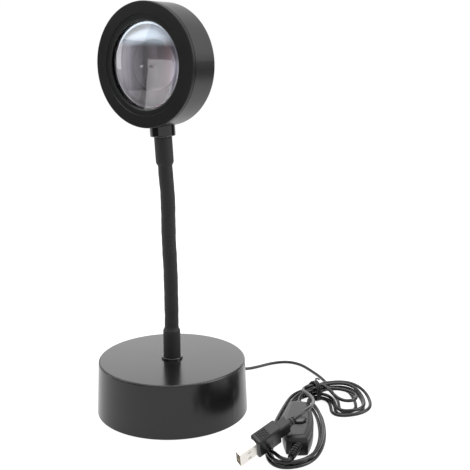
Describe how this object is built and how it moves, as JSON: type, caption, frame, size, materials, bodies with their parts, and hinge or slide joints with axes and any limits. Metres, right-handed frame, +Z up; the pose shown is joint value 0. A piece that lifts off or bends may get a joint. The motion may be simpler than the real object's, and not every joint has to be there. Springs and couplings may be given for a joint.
{
  "type": "projection lamp",
  "caption": "Sunset projection lamp: shallow round head with a domed glass lens on a flexible gooseneck, weighted round base, and a tied USB cord with an in-line push switch.",
  "frame": {"origin": "centre of the base's underside, on the table", "axes": "+Z up, -Y the way the lens faces at rest, +X to the side where the hank of cord lies"},
  "size_m": [0.1666, 0.1642, 0.2642],
  "materials": {
    "black_enamel": "satin",
    "bezel_black": "satin",
    "collar_black": "glossy",
    "sleeve_silicone": "matte",
    "cord_jacket": "satin",
    "moulded_black": "satin",
    "pad_rubber": "matte",
    "inner_plastic": "matte",
    "insulator_white": "matte",
    "board_white": "satin",
    "led_phosphor": "satin",
    "clear_lens": "polished",
    "sunset_glass": "polished",
    "mirror_bowl": "polished",
    "steel": "satin",
    "weight_iron": "raw",
    "heatsink_aluminium": "satin",
    "plug_steel": "satin",
    "contact_brass": "polished",
    "tie_black": "satin"
  },
  "bodies": {
    "base": {"base_bottom_cover": "moulded_black", "base_lead": "cord_jacket", "base_shell": "black_enamel", "base_weight": "weight_iron", "bottom_cover_screws": "steel", "cord_clamp": "inner_plastic", "cord_clamp_screws": "steel", "cord_free_run": "cord_jacket", "cord_grommet": "moulded_black", "cord_hank": "cord_jacket", "foot_pad": "pad_rubber", "neck_base_ring": "collar_black", "neck_lock_nut": "steel", "neck_lock_washer": "steel", "neck_lower_ferrule": "steel", "neck_sleeve": "sleeve_silicone", "neck_wire": "cord_jacket", "plug_body": "moulded_black", "plug_contacts": "contact_brass", "plug_insulator": "insulator_white", "plug_lead": "cord_jacket", "plug_shell": "plug_steel", "switch_contact_block": "insulator_white", "switch_lead": "cord_jacket", "switch_lower_shell": "moulded_black", "switch_reliefs": "cord_jacket", "switch_screws": "steel", "switch_spring": "steel", "switch_upper_shell": "moulded_black", "twist_tie": "tie_black"},
    "neck_01": {"neck_coil_01": "steel"},
    "neck_02": {"neck_coil_02": "steel"},
    "neck_03": {"neck_coil_03": "steel"},
    "neck_04": {"neck_coil_04": "steel"},
    "neck_05": {"neck_coil_05": "steel"},
    "neck_06": {"neck_coil_06": "steel"},
    "neck_07": {"neck_coil_07": "steel"},
    "neck_08": {"neck_coil_08": "steel"},
    "neck_09": {"neck_coil_09": "steel"},
    "neck_10": {"neck_coil_10": "steel"},
    "neck_11": {"neck_coil_11": "steel"},
    "head": {"neck_upper_ferrule": "steel", "head_housing": "black_enamel", "head_rear_cover": "inner_plastic", "head_bezel": "bezel_black", "head_collar": "collar_black", "neck_head_nut": "steel", "lens": "clear_lens", "lens_seal": "pad_rubber", "lens_barrel": "inner_plastic", "reflector": "mirror_bowl", "sunset_filter": "sunset_glass", "filter_holder": "inner_plastic", "led_heatsink": "heatsink_aluminium", "heatsink_screws": "steel", "led_board": "board_white", "led_chip": "led_phosphor", "led_board_screws": "steel", "head_lead": "cord_jacket"},
    "switch_button": {"switch_button": "moulded_black"}
  },
  "joints": [
    {"name": "neck_bend_1", "type": "hinge", "parent": "base", "child": "neck_01", "pos_m": [0, 0, 0.0545], "axis": [1, 0, 0], "range_deg": [-15, 15], "deforming": ["neck_sleeve", "neck_wire"]},
    {"name": "neck_sway_1", "type": "hinge", "parent": "neck_01", "child": "neck_02", "pos_m": [0.0002, -0.00009, 0.06473], "axis": [0, 1, 0], "range_deg": [-15, 15]},
    {"name": "neck_bend_2", "type": "hinge", "parent": "neck_02", "child": "neck_03", "pos_m": [0.00035, -0.00032, 0.07495], "axis": [1, 0, 0], "range_deg": [-15, 15]},
    {"name": "neck_sway_2", "type": "hinge", "parent": "neck_03", "child": "neck_04", "pos_m": [0.00055, -0.00068, 0.08518], "axis": [0, 1, 0], "range_deg": [-15, 15]},
    {"name": "neck_bend_3", "type": "hinge", "parent": "neck_04", "child": "neck_05", "pos_m": [0.00075, -0.00111, 0.09541], "axis": [1, 0, 0], "range_deg": [-15, 15]},
    {"name": "neck_sway_3", "type": "hinge", "parent": "neck_05", "child": "neck_06", "pos_m": [0.0007, -0.0016, 0.10564], "axis": [0, 1, 0], "range_deg": [-15, 15]},
    {"name": "neck_bend_4", "type": "hinge", "parent": "neck_06", "child": "neck_07", "pos_m": [0.00065, -0.0021, 0.11586], "axis": [1, 0, 0], "range_deg": [-15, 15]},
    {"name": "neck_sway_4", "type": "hinge", "parent": "neck_07", "child": "neck_08", "pos_m": [0.0009, -0.00259, 0.12609], "axis": [0, 1, 0], "range_deg": [-15, 15]},
    {"name": "neck_bend_5", "type": "hinge", "parent": "neck_08", "child": "neck_09", "pos_m": [0.00125, -0.00302, 0.13632], "axis": [1, 0, 0], "range_deg": [-15, 15]},
    {"name": "neck_sway_5", "type": "hinge", "parent": "neck_09", "child": "neck_10", "pos_m": [0.00125, -0.00338, 0.14655], "axis": [0, 1, 0], "range_deg": [-15, 15]},
    {"name": "neck_bend_6", "type": "hinge", "parent": "neck_10", "child": "neck_11", "pos_m": [0.0005, -0.00361, 0.15677], "axis": [1, 0, 0], "range_deg": [-15, 15]},
    {"name": "neck_sway_6", "type": "hinge", "parent": "neck_11", "child": "head", "pos_m": [-0.0002, -0.0037, 0.167], "axis": [0, 1, 0], "range_deg": [-15, 15]},
    {"name": "switch_press", "type": "slide", "parent": "base", "child": "switch_button", "axis": [0, 0, 1], "range_m": [-0.0015, 0], "stiffness_N_per_m": 300, "deforming": ["switch_spring"]}
  ]
}
